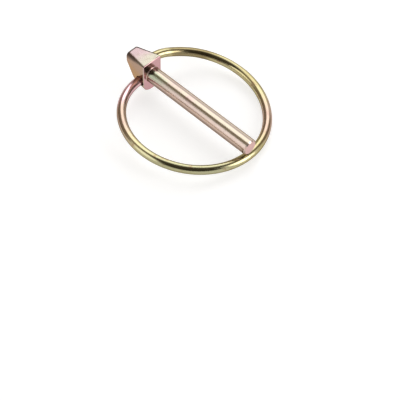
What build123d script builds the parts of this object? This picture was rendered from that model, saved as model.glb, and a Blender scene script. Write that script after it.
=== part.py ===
from build123d import *
import os

# Lynch pin: a forged steel pin with a wedge-shaped head, and a spring-wire ring whose two ends sit in side
# holes of the head. The pin lies along X, with the origin where the shank leaves the flat shoulder of the
# head, Y across the head and Z up out of its flat top. The ring is closed under the tip of the shank.

# Shank
shank_diameter = 6.0
shank_length = 47.5
tip_chamfer = 0.5
root_fillet = 0.3

# Head, from the shoulder back to the blunt nose
shoulder_ledge = 1.4
shoulder_top = 6.6
shoulder_bottom = -7.3
shoulder_top_corner = 0.7
nose_distance = 10.3
nose_width = 5.7
nose_top = 5.1
nose_top_corner = 1.5
nose_underside = 1.9
heel_length = 3.4
side_flat = 0.2
shoulder_edge_break = 0.3
nose_edge_rounding = 0.35

# Spring-wire ring: its full round spans the shank, from behind the shoulder to just short of the tip. Its
# radius draws in towards the holes and its height rises, more on one side than on the other, because the
# two ends are held at different heights
wire_diameter = 3.3
ring_back_reach = 7.92
ring_side_shift = 0.09
ring_tip_inset = 1.14
ring_rest_gap = 0.88
ring_pitch = 3.84
ring_roll = -5.35
left_end_shift = 0.31
right_end_shift = -0.53
draw_growth = 2.38
left_rise = -0.46
right_rise = 6.3
rise_growth = 2.14
last_shaped_turn = 150
turn_step = 15

# Side holes for the ends of the wire: a low one on the left and a high one on the right
left_hole_x = -2.35
left_hole_z = -2.3
right_hole_x = -3.45
right_hole_z = 3.0
hole_depth = 3.6
hole_clearance = 0.35
mouth_chamfer = 0.15
wire_bearing_shift = 0.2
wire_end_gap = 0.5
wire_end_chamfer = 0.4

shoulder_width = shank_diameter + 2 * shoulder_ledge
wire_radius = wire_diameter / 2
ring_radius = (ring_back_reach + shank_length - ring_tip_inset) / 2
left_draw = ring_back_reach + left_hole_x + left_end_shift
right_draw = ring_back_reach + right_hole_x + right_end_shift
hole_radius = wire_radius + hole_clearance
round_bottom_centre = shoulder_bottom + shoulder_width / 2
side_taper = (shoulder_width - nose_width) / 2 / nose_distance
left_mouth_y = -(shoulder_width / 2 + side_taper * left_hole_x)
right_mouth_y = shoulder_width / 2 + side_taper * right_hole_x

os.makedirs("parts", exist_ok=True)


def head_section(width, top, top_corner):
    """A cross-section of the head: a flat top, upright sides and a round bottom."""
    bottom = round_bottom_centre - width / 2
    with Locations((0, (top + bottom) / 2)):
        Rectangle(width, top - bottom)
    fillet(vertices().group_by(Axis.Y)[0], width / 2 - side_flat)
    fillet(vertices().group_by(Axis.Y)[-1], top_corner)


with BuildPart() as pin:
    with BuildSketch(Plane.YZ):
        head_section(shoulder_width, shoulder_top, shoulder_top_corner)
    with BuildSketch(Plane.YZ.offset(-nose_distance)):
        head_section(nose_width, nose_top, nose_top_corner)
    loft()
    # The back of the head slants from the nose down to the short heel
    with BuildSketch(Plane.XZ):
        with BuildLine():
            Polyline(
                (-nose_distance, nose_underside),
                (-heel_length, shoulder_bottom),
                (-heel_length, 2 * shoulder_bottom),
                (-2 * nose_distance, 2 * shoulder_bottom),
                (-2 * nose_distance, nose_underside),
                close=True,
            )
        make_face()
    extrude(amount=shoulder_width, both=True, mode=Mode.SUBTRACT)
    nose_face = faces().sort_by(Axis.X)[0]
    fillet(nose_face.edges(), nose_edge_rounding)
    shoulder_face = faces().sort_by(Axis.X)[-1]
    chamfer(shoulder_face.edges(), shoulder_edge_break)
    # Shank, square out of the shoulder
    with BuildSketch(Plane.YZ):
        Circle(shank_diameter / 2)
    extrude(amount=shank_length)
    tip_face = faces().sort_by(Axis.X)[-1]
    chamfer(tip_face.edges(), tip_chamfer)
    root_edges = edges().filter_by(GeomType.CIRCLE).filter_by_position(Axis.X, -0.01, 0.01)
    fillet(root_edges, root_fillet)
    # Blind side holes with a broken mouth
    left_mouth = Plane(origin=(left_hole_x, left_mouth_y, left_hole_z), x_dir=(1, 0, 0), z_dir=(0, -1, 0))
    right_mouth = Plane(origin=(right_hole_x, right_mouth_y, right_hole_z), x_dir=(1, 0, 0), z_dir=(0, 1, 0))
    with Locations(left_mouth, right_mouth):
        CounterSinkHole(hole_radius, hole_radius + mouth_chamfer, depth=hole_depth, counter_sink_angle=90)
pin.part.label = "pin"


def wire_point(turn):
    """Centre of the wire at an angle round the ring from its far point, negative on the left."""
    share = abs(turn) / 180
    draw = left_draw if turn < 0 else right_draw
    rise = left_rise if turn < 0 else right_rise
    radius = ring_radius - draw * share**draw_growth
    flat_point = Vector(radius, 0, 0).rotate(Axis.Z, turn)
    return ring_plane.from_local_coords(flat_point + Vector(0, 0, rise * share**rise_growth))


# The far point of the ring lies across the underside of the shank, just short of the tip
far_point = Vector(
    shank_length - ring_tip_inset,
    ring_side_shift,
    -(shank_diameter / 2 + ring_rest_gap + wire_radius),
)
ring_ahead = Vector(1, 0, 0).rotate(Axis.Y, ring_pitch)
ring_up = Vector(0, 0, 1).rotate(Axis.X, ring_roll).rotate(Axis.Y, ring_pitch)
ring_plane = Plane(origin=far_point - ring_radius * ring_ahead, x_dir=ring_ahead, z_dir=ring_up)
# The sprung wire bears on the back of each hole
wire_reach = hole_depth - wire_end_gap
left_entry = left_mouth.origin - Vector(wire_bearing_shift, 0, 0)
right_entry = right_mouth.origin - Vector(wire_bearing_shift, 0, 0)
left_wire_end = left_entry + Vector(0, wire_reach, 0)
right_wire_end = right_entry - Vector(0, wire_reach, 0)
shaped_turns = range(-last_shaped_turn, last_shaped_turn + 1, turn_step)
ring_points = [left_entry, *[wire_point(turn) for turn in shaped_turns], right_entry]

with BuildPart() as ring:
    with BuildLine():
        Line(left_wire_end, left_entry)
        Spline(ring_points, tangents=[(0, -1, 0), (0, -1, 0)], tangent_scalars=(1, 1))
        Line(right_entry, right_wire_end)
    with BuildSketch(Plane(origin=left_wire_end, z_dir=(0, -1, 0))):
        Circle(wire_radius)
    sweep()
    end_faces = faces().filter_by(Axis.Y)
    chamfer(end_faces.edges(), wire_end_chamfer)
ring.part.label = "ring"

export_step(pin.part, "parts/pin.step")
export_step(ring.part, "parts/ring.step")
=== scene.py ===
import math

import bmesh
import bpy
import numpy as np
from mathutils import Matrix, Quaternion, Vector


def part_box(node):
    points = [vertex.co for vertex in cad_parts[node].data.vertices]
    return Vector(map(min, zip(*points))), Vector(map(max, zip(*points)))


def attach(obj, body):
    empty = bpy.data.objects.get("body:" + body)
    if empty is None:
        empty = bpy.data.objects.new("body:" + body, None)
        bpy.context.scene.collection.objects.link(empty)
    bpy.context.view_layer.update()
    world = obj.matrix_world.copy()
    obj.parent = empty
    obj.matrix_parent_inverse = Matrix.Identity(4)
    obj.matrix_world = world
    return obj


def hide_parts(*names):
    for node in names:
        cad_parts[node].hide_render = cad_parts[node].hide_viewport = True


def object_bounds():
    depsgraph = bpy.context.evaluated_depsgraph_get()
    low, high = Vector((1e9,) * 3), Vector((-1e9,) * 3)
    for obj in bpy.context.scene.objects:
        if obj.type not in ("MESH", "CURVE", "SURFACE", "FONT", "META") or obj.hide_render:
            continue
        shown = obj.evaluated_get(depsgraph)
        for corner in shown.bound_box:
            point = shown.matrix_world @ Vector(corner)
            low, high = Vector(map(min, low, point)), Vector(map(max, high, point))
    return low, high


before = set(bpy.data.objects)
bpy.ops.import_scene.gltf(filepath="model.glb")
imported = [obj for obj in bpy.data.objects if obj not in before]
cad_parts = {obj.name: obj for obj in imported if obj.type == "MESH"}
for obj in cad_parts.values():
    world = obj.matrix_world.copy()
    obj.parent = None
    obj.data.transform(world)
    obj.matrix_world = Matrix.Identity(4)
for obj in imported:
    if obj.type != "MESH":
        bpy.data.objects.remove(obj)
cad_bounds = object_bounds()
scene = bpy.context.scene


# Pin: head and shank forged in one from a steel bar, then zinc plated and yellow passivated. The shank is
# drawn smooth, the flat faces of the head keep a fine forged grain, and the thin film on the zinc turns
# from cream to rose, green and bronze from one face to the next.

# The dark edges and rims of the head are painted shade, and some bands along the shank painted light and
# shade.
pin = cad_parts["pin"]
pin_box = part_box("pin")
nose_x = pin_box[0][0]

cream = (0.45, 0.395, 0.315, 1.0)
blush = (0.45, 0.35, 0.31, 1.0)
# Painted light (sand) and painted shade (brown, dull rose) for bands along the shank
sand_painted_light = (0.57, 0.425, 0.34, 1.0)
brown_painted_shade = (0.31, 0.24, 0.18, 1.0)
dull_rose_painted_shade = (0.27, 0.215, 0.19, 1.0)
sage = (0.32, 0.36, 0.25, 1.0)
top_rose = (0.58, 0.44, 0.455, 1.0)
top_cream = (0.56, 0.53, 0.43, 1.0)
bronze = (0.50, 0.33, 0.185, 1.0)
# Near black painted shade for the head's rounded edges, rims, the shoulder's bevel and their glancing
# reflection
painted_edge_shade = (0.085, 0.062, 0.048, 1.0)
mauve = (0.60, 0.345, 0.37, 1.0)
rose = (0.71, 0.49, 0.47, 1.0)
# Bare zinc on rubbed upward facing edges, partly a painted highlight
bare_zinc_and_highlight = (0.62, 0.60, 0.56, 1.0)
pin_glancing_tint = (0.65, 0.54, 0.50, 1.0)

# Where each film lies, from absent to full, or from absent to full and on to still full and absent again.
# Places are metres ahead of the shoulder (x) or above the axis of the shank (z). Facings say how far the
# surface looks ahead (x), to the right as seen from the tip (y) or up (z), from -1 to 1.
head_x = (0.0006, -0.0002)
side_facing_y = (0.35, 0.9)
left_facing_y = (-0.2, -0.4)
# Facings for the bands of painted light and shade along the shank
sand_light_facing_z = (0.55, 0.42, 0.28, 0.08)
brown_shade_facing_z = (0.20, -0.08, -0.25, -0.42)
dull_rose_shade_facing_y = (0.03, 0.12, 0.25, 0.45)
dull_rose_shade_facing_z = (0.0, 0.2)
sage_x = (0.014, 0.002)
sage_facing_y = (0.05, -0.35, -0.8, -0.98)
top_cream_x = (-0.0075, -0.0015)
flank_facing_y = (0.6, 0.95)
bronze_z = (0.003, -0.001)
# Where the painted shade lies on the head: under the top edge, on the rounded edges, the rims and the bevel
under_edge_shade_z = (0.0060, 0.0072)
edge_facing_z = (0.98, 0.92, 0.45, 0.15)
near_nose_x = (-0.003, -0.007)
behind_bevel_x = (-0.0004, -0.0012)
dark_rim_facing_z = (0.3, 0.5)
right_rim_facing_y = (0.10, 0.22)
right_rim_x = (-0.0004, -0.0010)
nose_rim_x = (nose_x + 0.00085, nose_x + 0.0005)
bevel_facing_x = (0.3, 0.6)
end_facing_x = (0.6, 0.95)
rubbed_x = (-0.0012, -0.0006)
rubbed_facing_z = (0.9, 0.4)
rough_facing_z = (0.8, 0.98)
head_top_slope = 0.35

# How much of a film shows where it is full, or from where it shows least to where it shows most
dull_rose_shade_share = 0.8
sage_share = 0.9
top_blush_share = 0.35
bronze_share = (0.45, 1.0)
under_edge_shade_share = 0.6
near_nose_share = (0.3, 0.75)
behind_bevel_share = (0.3, 1.0)
bevel_share = (0.5, 0.95)
rubbed_and_highlight_share = (0.0, 0.4)
dark_glance_gain = 1.3

# The noise values between which patches go from absent to full
blush_patches = (0.5, 0.7)
bevel_patches = (0.38, 0.6)
polish_patches = (0.3, 0.7)

pin_cloud_size = 0.006
pin_mottle_size = 0.0015
sage_drift = 0.004
head_drift = 0.003
drawn_line_width = 0.00012
drawn_line_stretch = (0.02, 1.0, 1.0)
pit_size = 0.0003
pin_relief = 0.000008
rubbed_width = 0.0002
pin_roughness = (0.15, 0.22)
top_extra_roughness = 0.08


class Finish:
    """A surface finish: its material, and short calls that add to its node tree."""

    def __init__(self, name):
        self.material = bpy.data.materials.new(name)
        self.material.use_nodes = True
        self.nodes = self.material.node_tree.nodes
        self.links = self.material.node_tree.links
        self.shader = self.nodes["Principled BSDF"]

    def feed(self, socket, value):
        """Links another socket, or sets a plain value."""
        if isinstance(value, bpy.types.NodeSocket):
            self.links.new(value, socket)
        else:
            socket.default_value = value

    def coordinates(self, kind):
        return self.nodes.new("ShaderNodeTexCoord").outputs[kind]

    def parts(self, vector):
        """The x, y and z of a vector."""
        node = self.nodes.new("ShaderNodeSeparateXYZ")
        self.links.new(vector, node.inputs[0])
        return node.outputs

    def math(self, operation, first, second=0.0):
        node = self.nodes.new("ShaderNodeMath")
        node.operation = operation
        self.feed(node.inputs[0], first)
        self.feed(node.inputs[1], second)
        return node.outputs[0]

    def times(self, *shares):
        """The product of several shares: where all of them hold."""
        product = shares[0]
        for share in shares[1:]:
            product = self.math("MULTIPLY", product, share)
        return product

    def either(self, *shares):
        """The largest of several shares: where any of them holds."""
        largest = shares[0]
        for share in shares[1:]:
            largest = self.math("MAXIMUM", largest, share)
        return largest

    def fade(self, value, absent, full):
        """Goes smoothly from 0 at absent to 1 at full."""
        node = self.nodes.new("ShaderNodeMapRange")
        node.interpolation_type = "SMOOTHSTEP"
        self.feed(node.inputs["Value"], value)
        node.inputs["From Min"].default_value = absent
        node.inputs["From Max"].default_value = full
        return node.outputs[0]

    def band(self, value, absent, full, still_full, absent_again):
        """Fades in, and out again."""
        return self.times(self.fade(value, absent, full), self.fade(value, absent_again, still_full))

    def span(self, share, low, high):
        """Maps 0 to low and 1 to high."""
        return self.math("ADD", self.math("MULTIPLY", share, high - low), low)

    def drifted(self, value, cloud, drift):
        """Shifts a value either way by up to a drift, so that the edge of a film wanders."""
        return self.math("ADD", value, self.span(cloud, -drift, drift))

    def tint(self, base, colour, share):
        """Turns the base colour towards another by a share."""
        node = self.nodes.new("ShaderNodeMix")
        node.data_type = "RGBA"
        self.feed(node.inputs["Factor"], share)
        # The node's two colours come after its numbers and vectors, under the same names
        self.feed(node.inputs[6], base)
        self.feed(node.inputs[7], colour)
        return node.outputs[2]

    def grain(self, place, size, detail=3.0, stretch=(1.0, 1.0, 1.0)):
        """Noise from 0 to 1 in lumps about size across, drawn out along an axis by a stretch below 1."""
        scaled = self.nodes.new("ShaderNodeMapping")
        scaled.inputs["Scale"].default_value = [part / size for part in stretch]
        self.links.new(place, scaled.inputs["Vector"])
        noise = self.nodes.new("ShaderNodeTexNoise")
        noise.inputs["Scale"].default_value = 1.0
        noise.inputs["Detail"].default_value = detail
        self.links.new(scaled.outputs[0], noise.inputs["Vector"])
        return noise.outputs[0]

    def worn_edge(self, width):
        """1 along sharp edges, 0 on flat and gently curved ground."""
        rounded = self.nodes.new("ShaderNodeBevel")
        rounded.samples = 4
        rounded.inputs["Radius"].default_value = width
        true_normal = self.nodes.new("ShaderNodeNewGeometry")
        match = self.nodes.new("ShaderNodeVectorMath")
        match.operation = "DOT_PRODUCT"
        self.links.new(rounded.outputs[0], match.inputs[0])
        self.links.new(true_normal.outputs["Normal"], match.inputs[1])
        flat_match, edge_match = 0.995, 0.90
        return self.fade(match.outputs["Value"], flat_match, edge_match)

    def relief(self, height, depth):
        node = self.nodes.new("ShaderNodeBump")
        self.feed(node.inputs["Height"], height)
        node.inputs["Distance"].default_value = depth
        self.links.new(node.outputs[0], self.shader.inputs["Normal"])

    def metal(self, colour, roughness, glancing_tint):
        """Metal whose reflection turns to glancing_tint where it is seen aslant."""
        self.links.new(colour, self.shader.inputs["Base Color"])
        self.links.new(roughness, self.shader.inputs["Roughness"])
        self.links.new(glancing_tint, self.shader.inputs["Specular Tint"])
        self.shader.inputs["Metallic"].default_value = 1.0


def plated_forging():
    film = Finish("yellow_zinc_on_forging")
    place = film.coordinates("Object")
    x, _, z = film.parts(place)
    out_x, out_y, out_z = film.parts(film.coordinates("Normal"))
    sideways = film.math("ABSOLUTE", out_y)
    cloud = film.grain(place, pin_cloud_size)
    mottle = film.grain(place, pin_mottle_size, detail=4.0)
    head = film.fade(x, *head_x)

    # Shank: cream on top, blushing to the sides and in patches. Bands of painted light and shade run along
    # it by
    # facing: painted light in sand above painted shade in brown low on the left, and a streak of painted
    # shade in dull rose right of the top. Next to the head it is green on the left.
    blushing = film.either(film.fade(sideways, *side_facing_y), film.fade(cloud, *blush_patches))
    shank = film.tint(cream, blush, blushing)
    on_left = film.fade(out_y, *left_facing_y)
    shank = film.tint(shank, sand_painted_light, film.times(on_left, film.band(out_z, *sand_light_facing_z)))
    shank = film.tint(shank, brown_painted_shade, film.times(on_left, film.band(out_z, *brown_shade_facing_z)))
    painted_shade_streak = film.times(film.band(out_y, *dull_rose_shade_facing_y), film.fade(out_z, *dull_rose_shade_facing_z))
    shank = film.tint(shank, dull_rose_painted_shade, film.times(painted_shade_streak, dull_rose_shade_share))
    near_head = film.fade(film.drifted(x, cloud, sage_drift), *sage_x)
    shank = film.tint(shank, sage, film.times(near_head, film.band(out_y, *sage_facing_y), sage_share))

    # Top of the head: rose by the nose and pale green by the shoulder
    top = film.tint(top_rose, top_cream, film.fade(film.drifted(x, cloud, head_drift), *top_cream_x))
    top = film.tint(top, blush, film.times(film.fade(mottle, *blush_patches), top_blush_share))

    # Flanks: bronze low down, and below the top edge, which falls towards the nose, painted shade
    low_down = film.fade(film.drifted(z, cloud, head_drift), *bronze_z)
    flank = film.tint(blush, bronze, film.span(low_down, *bronze_share))
    up_to_edge = film.math("SUBTRACT", z, film.math("MULTIPLY", x, head_top_slope))
    flank = film.tint(flank, painted_edge_shade, film.times(film.fade(up_to_edge, *under_edge_shade_z), under_edge_shade_share))
    head_colour = film.tint(top, flank, film.fade(sideways, *flank_facing_y))

    # Rounded edges of the top: painted shade, most of it towards the nose, dark all along the right-hand rim
    # and the nose, and broken on the bevel of the shoulder
    edge = film.band(out_z, *edge_facing_z)
    near_nose = film.span(film.fade(x, *near_nose_x), *near_nose_share)
    behind_bevel = film.span(film.fade(x, *behind_bevel_x), *behind_bevel_share)
    rim = film.fade(out_z, *dark_rim_facing_z)
    right_rim = film.times(rim, film.fade(out_y, *right_rim_facing_y), film.fade(x, *right_rim_x))
    nose_rim = film.times(rim, film.fade(x, *nose_rim_x))
    darkened = film.either(film.times(edge, behind_bevel, near_nose, head), right_rim, nose_rim)
    head_colour = film.tint(head_colour, painted_edge_shade, darkened)
    broken = film.span(film.fade(mottle, *bevel_patches), *bevel_share)
    bevel = film.times(edge, film.fade(out_x, *bevel_facing_x), head, broken)
    head_colour = film.tint(head_colour, painted_edge_shade, bevel)

    # Rose end face, mauve shoulder, and bare zinc where the edge of the shoulder is rubbed, a pale line on
    # the upward facing edge that is also a painted highlight
    colour = film.tint(shank, head_colour, head)
    colour = film.tint(colour, film.tint(rose, mauve, head), film.fade(out_x, *end_facing_x))
    rubbed_and_highlight = film.times(film.fade(x, *rubbed_x), film.fade(out_z, *rubbed_facing_z))
    rubbed_and_highlight = film.times(film.worn_edge(rubbed_width), rubbed_and_highlight, film.span(mottle, *rubbed_and_highlight_share))
    colour = film.tint(colour, bare_zinc_and_highlight, rubbed_and_highlight)

    # Drawn lines on the shank, pits on the head, and a top that is a little duller than the rest
    drawn_lines = film.grain(place, drawn_line_width, detail=2.0, stretch=drawn_line_stretch)
    pits = film.grain(place, pit_size, detail=5.0)
    film.relief(film.tint(drawn_lines, pits, head), pin_relief)
    roughness = film.span(film.fade(mottle, *polish_patches), *pin_roughness)
    dulled = film.times(head, film.fade(out_z, *rough_facing_z), top_extra_roughness)
    # The painted shade also darkens the glancing reflection of those edges
    dark_glance = film.times(darkened, dark_glance_gain)
    glancing_tint = film.tint(pin_glancing_tint, painted_edge_shade, dark_glance)
    film.metal(colour, film.math("ADD", roughness, dulled), glancing_tint)
    return film.material


pin.data.materials.clear()
pin.data.materials.append(plated_forging())


# Ring: one length of drawn spring wire, bent round and sprung into the two side holes of the head, which are
# low on the left and high on the right. It is plated like the pin, with a thicker, more olive film. Its
# radius draws in and its height rises towards the ends by the same law as in the solid that it replaces.

shank_length = pin_box[1][0]
shank_radius = 0.003
shoulder_half_width = 0.0044
nose_half_width = 0.00285
side_taper = (nose_half_width - shoulder_half_width) / nose_x

wire_radius = 0.00165
ring_back_reach = 0.00792
ring_side_shift = 0.00009
ring_tip_inset = 0.00114
ring_rest_gap = 0.00088
ring_pitch = math.radians(3.84)
ring_roll = math.radians(-5.35)
ring_radius = (ring_back_reach + shank_length - ring_tip_inset) / 2

left_hole_x, left_hole_z, left_end_shift = -0.00235, -0.0023, 0.00031
right_hole_x, right_hole_z, right_end_shift = -0.00345, 0.003, -0.00053
left_draw = ring_back_reach + left_hole_x + left_end_shift
right_draw = ring_back_reach + right_hole_x + right_end_shift
draw_growth = 2.38
left_rise, right_rise, rise_growth = -0.00046, 0.0063, 2.14
last_shaped_turn, turn_step = 150, 15

wire_bearing_shift = 0.0002
wire_reach = 0.0031
wire_end_chamfer = 0.0004
steps_along = 320
steps_round = 40


def wire_entry(hole_x, hole_z, side):
    """Where the wire crosses the flank of the head. It bears on the back of its hole."""
    half_width = shoulder_half_width + side_taper * hole_x
    return Vector((hole_x - wire_bearing_shift, side * half_width, hole_z))


def wire_centres():
    """Points along the centre of the wire, from its left end to its right end."""
    ahead = Vector((math.cos(ring_pitch), 0, -math.sin(ring_pitch)))
    up = Vector((
        math.sin(ring_pitch) * math.cos(ring_roll),
        -math.sin(ring_roll),
        math.cos(ring_pitch) * math.cos(ring_roll),
    ))
    side = up.cross(ahead)
    below_shank = -(shank_radius + ring_rest_gap + wire_radius)
    far_point = Vector((shank_length - ring_tip_inset, ring_side_shift, below_shank))
    centre = far_point - ring_radius * ahead
    left_entry = wire_entry(left_hole_x, left_hole_z, side=-1)
    right_entry = wire_entry(right_hole_x, right_hole_z, side=1)
    knots = [left_entry]
    for turn in range(-last_shaped_turn, last_shaped_turn + 1, turn_step):
        share = abs(turn) / 180
        draw, rise = (left_draw, left_rise) if turn < 0 else (right_draw, right_rise)
        radius = ring_radius - draw * share**draw_growth
        angle = math.radians(turn)
        flat = radius * (math.cos(angle) * ahead + math.sin(angle) * side)
        knots.append(centre + flat + rise * share**rise_growth * up)
    knots.append(right_entry)
    points = smooth_through(np.array(knots), np.array((0, -1, 0)))
    left_end = left_entry + Vector((0, wire_reach, 0))
    right_end = right_entry - Vector((0, wire_reach, 0))
    return np.vstack([left_end, points, right_end])


def smooth_through(knots, end_direction):
    """A cubic curve through the knots that leaves the first and meets the last along end_direction."""
    gaps = np.linalg.norm(np.diff(knots, axis=0), axis=1)
    count = len(knots)
    system = np.eye(count)
    right_side = np.tile(end_direction.astype(float), (count, 1))
    for i in range(1, count - 1):
        before, after = gaps[i - 1], gaps[i]
        system[i, i - 1:i + 2] = after, 2 * (before + after), before
        slopes = (knots[i] - knots[i - 1]) / before * after + (knots[i + 1] - knots[i]) / after * before
        right_side[i] = 3 * slopes
    tangents = np.linalg.solve(system, right_side)
    reach = np.r_[0, np.cumsum(gaps)]
    points = []
    for distance in np.linspace(0, reach[-1], steps_along):
        i = min(np.searchsorted(reach, distance, side="right") - 1, count - 2)
        t = (distance - reach[i]) / gaps[i]
        points.append(
            (2 * t**3 - 3 * t**2 + 1) * knots[i]
            + (t**3 - 2 * t**2 + t) * gaps[i] * tangents[i]
            + (3 * t**2 - 2 * t**3) * knots[i + 1]
            + (t**3 - t**2) * gaps[i] * tangents[i + 1]
        )
    return np.array(points)


def wire_mesh(centres):
    """A round tube along the centres with chamfered, closed ends."""
    tangents = np.gradient(centres, axis=0)
    tangents /= np.linalg.norm(tangents, axis=1)[:, None]
    reach = np.r_[0, np.cumsum(np.linalg.norm(np.diff(centres, axis=0), axis=1))]
    end_radius = wire_radius - wire_end_chamfer
    left_rim = centres[0] + tangents[0] * wire_end_chamfer
    right_rim = centres[-1] - tangents[-1] * wire_end_chamfer
    # Each row has its centre, its direction, its radius and how far along the wire it lies
    rows = [
        (centres[0], tangents[0], end_radius, 0.0),
        (left_rim, tangents[0], wire_radius, wire_end_chamfer),
        *[(c, t, wire_radius, s) for c, t, s in zip(centres[1:-1], tangents[1:-1], reach[1:-1])],
        (right_rim, tangents[-1], wire_radius, reach[-1] - wire_end_chamfer),
        (centres[-1], tangents[-1], end_radius, reach[-1]),
    ]
    mesh = bmesh.new()
    wrap = mesh.loops.layers.uv.new("wire")
    angles = np.linspace(0, 2 * math.pi, steps_round, endpoint=False)
    rings = []
    for centre, tangent, radius, _ in rows:
        across = np.cross(tangent, (0, 0, 1))
        across /= np.linalg.norm(across)
        upward = np.cross(across, tangent)
        rings.append([
            mesh.verts.new(centre + radius * (math.cos(a) * across + math.sin(a) * upward)) for a in angles
        ])
    for i in range(len(rows) - 1):
        for j in range(steps_round):
            k = (j + 1) % steps_round
            face = mesh.faces.new((rings[i][j], rings[i][k], rings[i + 1][k], rings[i + 1][j]))
            face.smooth = True
            for loop, (row, turn) in zip(face.loops, ((i, j), (i, j + 1), (i + 1, j + 1), (i + 1, j))):
                loop[wrap].uv = rows[row][3], turn / steps_round
    mesh.faces.new(rings[0])
    mesh.faces.new(list(reversed(rings[-1])))
    mesh.normal_update()
    bmesh.ops.recalc_face_normals(mesh, faces=mesh.faces)
    data = bpy.data.meshes.new("ring_wire")
    mesh.to_mesh(data)
    mesh.free()
    return data


olive = (0.42, 0.36, 0.18, 1.0)
straw = (0.46, 0.41, 0.235, 1.0)
rust = (0.33, 0.20, 0.11, 1.0)
dusky_rose = (0.45, 0.315, 0.285, 1.0)
# Rose film at the left hole, light enough to be partly a painted highlight
deep_rose_highlight = (0.74, 0.48, 0.53, 1.0)
# Painted shade for a patch by the right-hand hole
painted_shade_brown = (0.19, 0.145, 0.075, 1.0)
olive_glancing_tint = (0.34, 0.29, 0.21, 1.0)
rose_glancing_tint = (0.60, 0.50, 0.43, 1.0)

# Where each film lies, as for the pin: x ahead of the shoulder, y to the right
left_half_y = (0.002, -0.002)
ring_sage_x = (0.018, 0.030)
ring_sage_y = (0.0, -0.012)
left_run_x = (0.022, 0.010)
right_run_x = (0.030, 0.040)
right_run_y = (0.006, 0.013)
# Where the painted highlight at the left hole lies
left_hole_highlight_x = (0.004, 0.0)
# Where the patch of painted shade by the right-hand hole lies
shade_patch_x = (-0.004, -0.001, 0.005, 0.010)
shade_patch_y = (0.010, 0.012)

ring_sage_share = 0.35
rust_share = 0.55
dusky_rose_share = 0.72
deep_rose_highlight_share = 0.9
shade_patch_share = 0.7
straw_patches = (0.35, 0.65)
rust_patches = (0.55, 0.68)

ring_cloud_size = 0.010
ring_mottle_size = 0.0022
ring_drift = 0.006
wire_line_stretch = (120.0, 60.0, 1.0)
ring_relief = 0.000005
ring_roughness = (0.13, 0.22)


def plated_wire():
    film = Finish("yellow_zinc_on_wire")
    place = film.coordinates("Object")
    x, y, _ = film.parts(place)
    cloud = film.grain(place, ring_cloud_size)
    mottle = film.grain(place, ring_mottle_size, detail=4.0)
    x_drift = film.drifted(x, cloud, ring_drift)
    y_drift = film.drifted(y, cloud, ring_drift)
    left_half = film.fade(y, *left_half_y)

    # Olive with patches of straw and specks of rust, and greener on the far left
    colour = film.tint(olive, straw, film.fade(cloud, *straw_patches))
    far_left = film.times(film.fade(x_drift, *ring_sage_x), film.fade(y_drift, *ring_sage_y))
    colour = film.tint(colour, sage, film.times(far_left, ring_sage_share))
    colour = film.tint(colour, rust, film.times(film.fade(mottle, *rust_patches), rust_share))

    # Rose on the left run into the head, deepest at the hole, where the brighter rose is partly a painted
    # highlight, and where the ring passes the tip on the right
    left_run = film.times(left_half, film.fade(x_drift, *left_run_x))
    right_run = film.times(film.fade(x_drift, *right_run_x), film.fade(y_drift, *right_run_y))
    colour = film.tint(colour, dusky_rose, film.times(film.either(left_run, right_run), dusky_rose_share))
    at_left_hole = film.times(left_half, film.fade(x, *left_hole_highlight_x))
    colour = film.tint(colour, deep_rose_highlight, film.times(at_left_hole, deep_rose_highlight_share))

    # A patch of painted shade, dark brown, just outside the right-hand hole
    painted_shade_patch = film.times(film.band(x_drift, *shade_patch_x), film.fade(y, *shade_patch_y))
    colour = film.tint(colour, painted_shade_brown, film.times(painted_shade_patch, shade_patch_share))

    # Drawn lines along the wire. The unwrapping runs in metres along it and in whole turns round it.
    film.relief(film.grain(film.coordinates("UV"), 1.0, stretch=wire_line_stretch), ring_relief)
    roughness = film.span(film.fade(mottle, *polish_patches), *ring_roughness)
    film.metal(colour, roughness, film.tint(olive_glancing_tint, rose_glancing_tint, right_run))
    return film.material


ring = bpy.data.objects.new("ring_wire", wire_mesh(wire_centres()))
scene.collection.objects.link(ring)
ring.data.materials.append(plated_wire())
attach(ring, "ring")
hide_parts("ring")


# Floor: a plain pale studio sheet of matt paper, laid flat just under the lowest side of the ring. It is
# seen a little lighter than it is lit, so that it reads as white and still keeps the shadow.

floor_size = 6.0
floor_gap = 0.00002
floor_lift = 0.65
paper_dark = (0.49, 0.49, 0.49, 1.0)
paper_light = (0.51, 0.51, 0.51, 1.0)
paper_tooth_size = 0.004
paper_roughness = 0.9
white = (1.0, 1.0, 1.0, 1.0)


def pale_sheet():
    sheet = Finish("pale_studio_sheet")
    tooth = sheet.grain(sheet.coordinates("Object"), paper_tooth_size, detail=4.0)
    sheet.links.new(sheet.tint(paper_dark, paper_light, tooth), sheet.shader.inputs["Base Color"])
    sheet.shader.inputs["Roughness"].default_value = paper_roughness
    path = sheet.nodes.new("ShaderNodeLightPath").outputs
    seen = sheet.either(path["Is Camera Ray"], path["Is Glossy Ray"], path["Is Transmission Ray"])
    sheet.shader.inputs["Emission Color"].default_value = white
    sheet.links.new(sheet.times(seen, floor_lift), sheet.shader.inputs["Emission Strength"])
    return sheet.material


floor_mesh = bmesh.new()
bmesh.ops.create_grid(floor_mesh, x_segments=2, y_segments=2, size=floor_size / 2)
floor_data = bpy.data.meshes.new("floor")
floor_mesh.to_mesh(floor_data)
floor_mesh.free()
floor = bpy.data.objects.new("floor", floor_data)
scene.collection.objects.link(floor)
floor.location.z = cad_bounds[0][2] - floor_gap
floor.data.materials.append(pale_sheet())


# Studio: white all round, with soft boxes that draw the highlights and dark cards that give the metal its
# dark bands. Each hangs on a wide sphere about the middle of the shank and fades out towards its rim.

studio_radius = 1.2
radius_step = 0.04
card_steps = 24
warm_grey = (1.0, 0.84, 0.64, 1.0)

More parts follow.
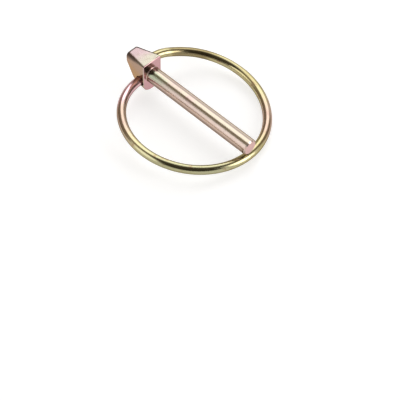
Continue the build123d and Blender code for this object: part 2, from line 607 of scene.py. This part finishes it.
studio_cards = {
    # name: azimuth from +X, height above the floor, half width, half height, soft rim, glow
    "camera_side_card": (-42, 44, 46, 34, 0.2, 0.065),
    "top_card": (-30, 78, 46, 24, 0.25, 0.10),
    "heel_top_card": (-152, 60, 26, 18, 0.3, 0.40),
    "heel_side_card": (-171, 20, 42, 34, 0.2, 0.33),
    "right_side_card": (72, 30, 17, 42, 0.3, 0.33),
    "left_soft_box": (-104, 24, 22, 31, 0.35, 1.95),
    "tip_soft_box": (29, 21, 17, 30, 0.35, 4.2),
    "back_soft_box": (123, 42, 27, 17, 0.35, 2.5),
    "high_soft_box": (152, 62, 20, 15, 0.35, 2.4),
    "low_back_soft_box": (120, 6, 20, 24, 0.5, 1.7),
}


def card_finish(name, rim, glow):
    """Cloth that thins out to nothing over its rim: warm grey on a card, white on a soft box."""
    cloth = Finish(name)
    from_centre = cloth.nodes.new("ShaderNodeVectorMath")
    from_centre.operation = "LENGTH"
    cloth.links.new(cloth.coordinates("UV"), from_centre.inputs[0])
    cover = cloth.fade(from_centre.outputs["Value"], 1.0, 1.0 - rim)
    clear = cloth.nodes.new("ShaderNodeBsdfTransparent")
    light = cloth.nodes.new("ShaderNodeEmission")
    light.inputs["Color"].default_value = warm_grey if glow < 1 else white
    light.inputs["Strength"].default_value = glow
    blend = cloth.nodes.new("ShaderNodeMixShader")
    cloth.links.new(cover, blend.inputs[0])
    cloth.links.new(clear.outputs[0], blend.inputs[1])
    cloth.links.new(light.outputs[0], blend.inputs[2])
    cloth.nodes.remove(cloth.shader)
    cloth.links.new(blend.outputs[0], cloth.nodes["Material Output"].inputs["Surface"])
    return cloth.material


def studio_card(name, azimuth, height, half_width, half_height, rim, glow, radius):
    """A card curved about the pin, seen from it at that azimuth and height, in degrees."""
    aim = Matrix.Rotation(math.radians(azimuth), 3, "Z") @ Matrix.Rotation(math.radians(-height), 3, "Y")
    mesh = bmesh.new()
    wrap = mesh.loops.layers.uv.new("card")
    shares = [2 * i / card_steps - 1 for i in range(card_steps + 1)]
    leans = [Matrix.Rotation(math.radians(-v * half_height), 3, "Y") for v in shares]
    rows = []
    for u in shares:
        swing = Matrix.Rotation(math.radians(u * half_width), 3, "Z")
        rows.append([mesh.verts.new(aim @ swing @ lean @ Vector((radius, 0, 0))) for lean in leans])
    for i in range(card_steps):
        for j in range(card_steps):
            places = ((i, j), (i, j + 1), (i + 1, j + 1), (i + 1, j))
            face = mesh.faces.new([rows[a][b] for a, b in places])
            for loop, (a, b) in zip(face.loops, places):
                loop[wrap].uv = shares[a], shares[b]
    data = bpy.data.meshes.new(name)
    mesh.to_mesh(data)
    mesh.free()
    card = bpy.data.objects.new(name, data)
    scene.collection.objects.link(card)
    card.location.x = shank_length / 2
    card.data.materials.append(card_finish(name, rim, glow))
    card.visible_camera = False


for layer, (card_name, layout) in enumerate(studio_cards.items()):
    studio_card(card_name, *layout, studio_radius - radius_step * layer)

world = bpy.data.worlds.new("white_studio")
world.use_nodes = True
world.node_tree.nodes["Background"].inputs["Color"].default_value = white
world.node_tree.nodes["Background"].inputs["Strength"].default_value = 1.0
scene.world = world


# Camera: looks down on the pin from beyond its tip, as in the photograph, from about 0.4 m away through a
# long lens. It is turned a little about its line of sight.

camera_place = Vector((0.21209, -0.19992, 0.31294))
camera_aim = Vector((0.05098, -0.0278, 0.0))
camera_roll = math.radians(1.768)
lens_length = 108.0
sensor_width = 36.0

camera_data = bpy.data.cameras.new("camera")
camera_data.lens = lens_length
camera_data.sensor_width = sensor_width
camera = bpy.data.objects.new("camera", camera_data)
scene.collection.objects.link(camera)
camera.location = camera_place
camera.rotation_mode = "QUATERNION"
line_of_sight = (camera_aim - camera_place).to_track_quat("-Z", "Y")
camera.rotation_quaternion = line_of_sight @ Quaternion((0, 0, 1), camera_roll)
scene.camera = camera
scene.view_settings.view_transform = "Standard"
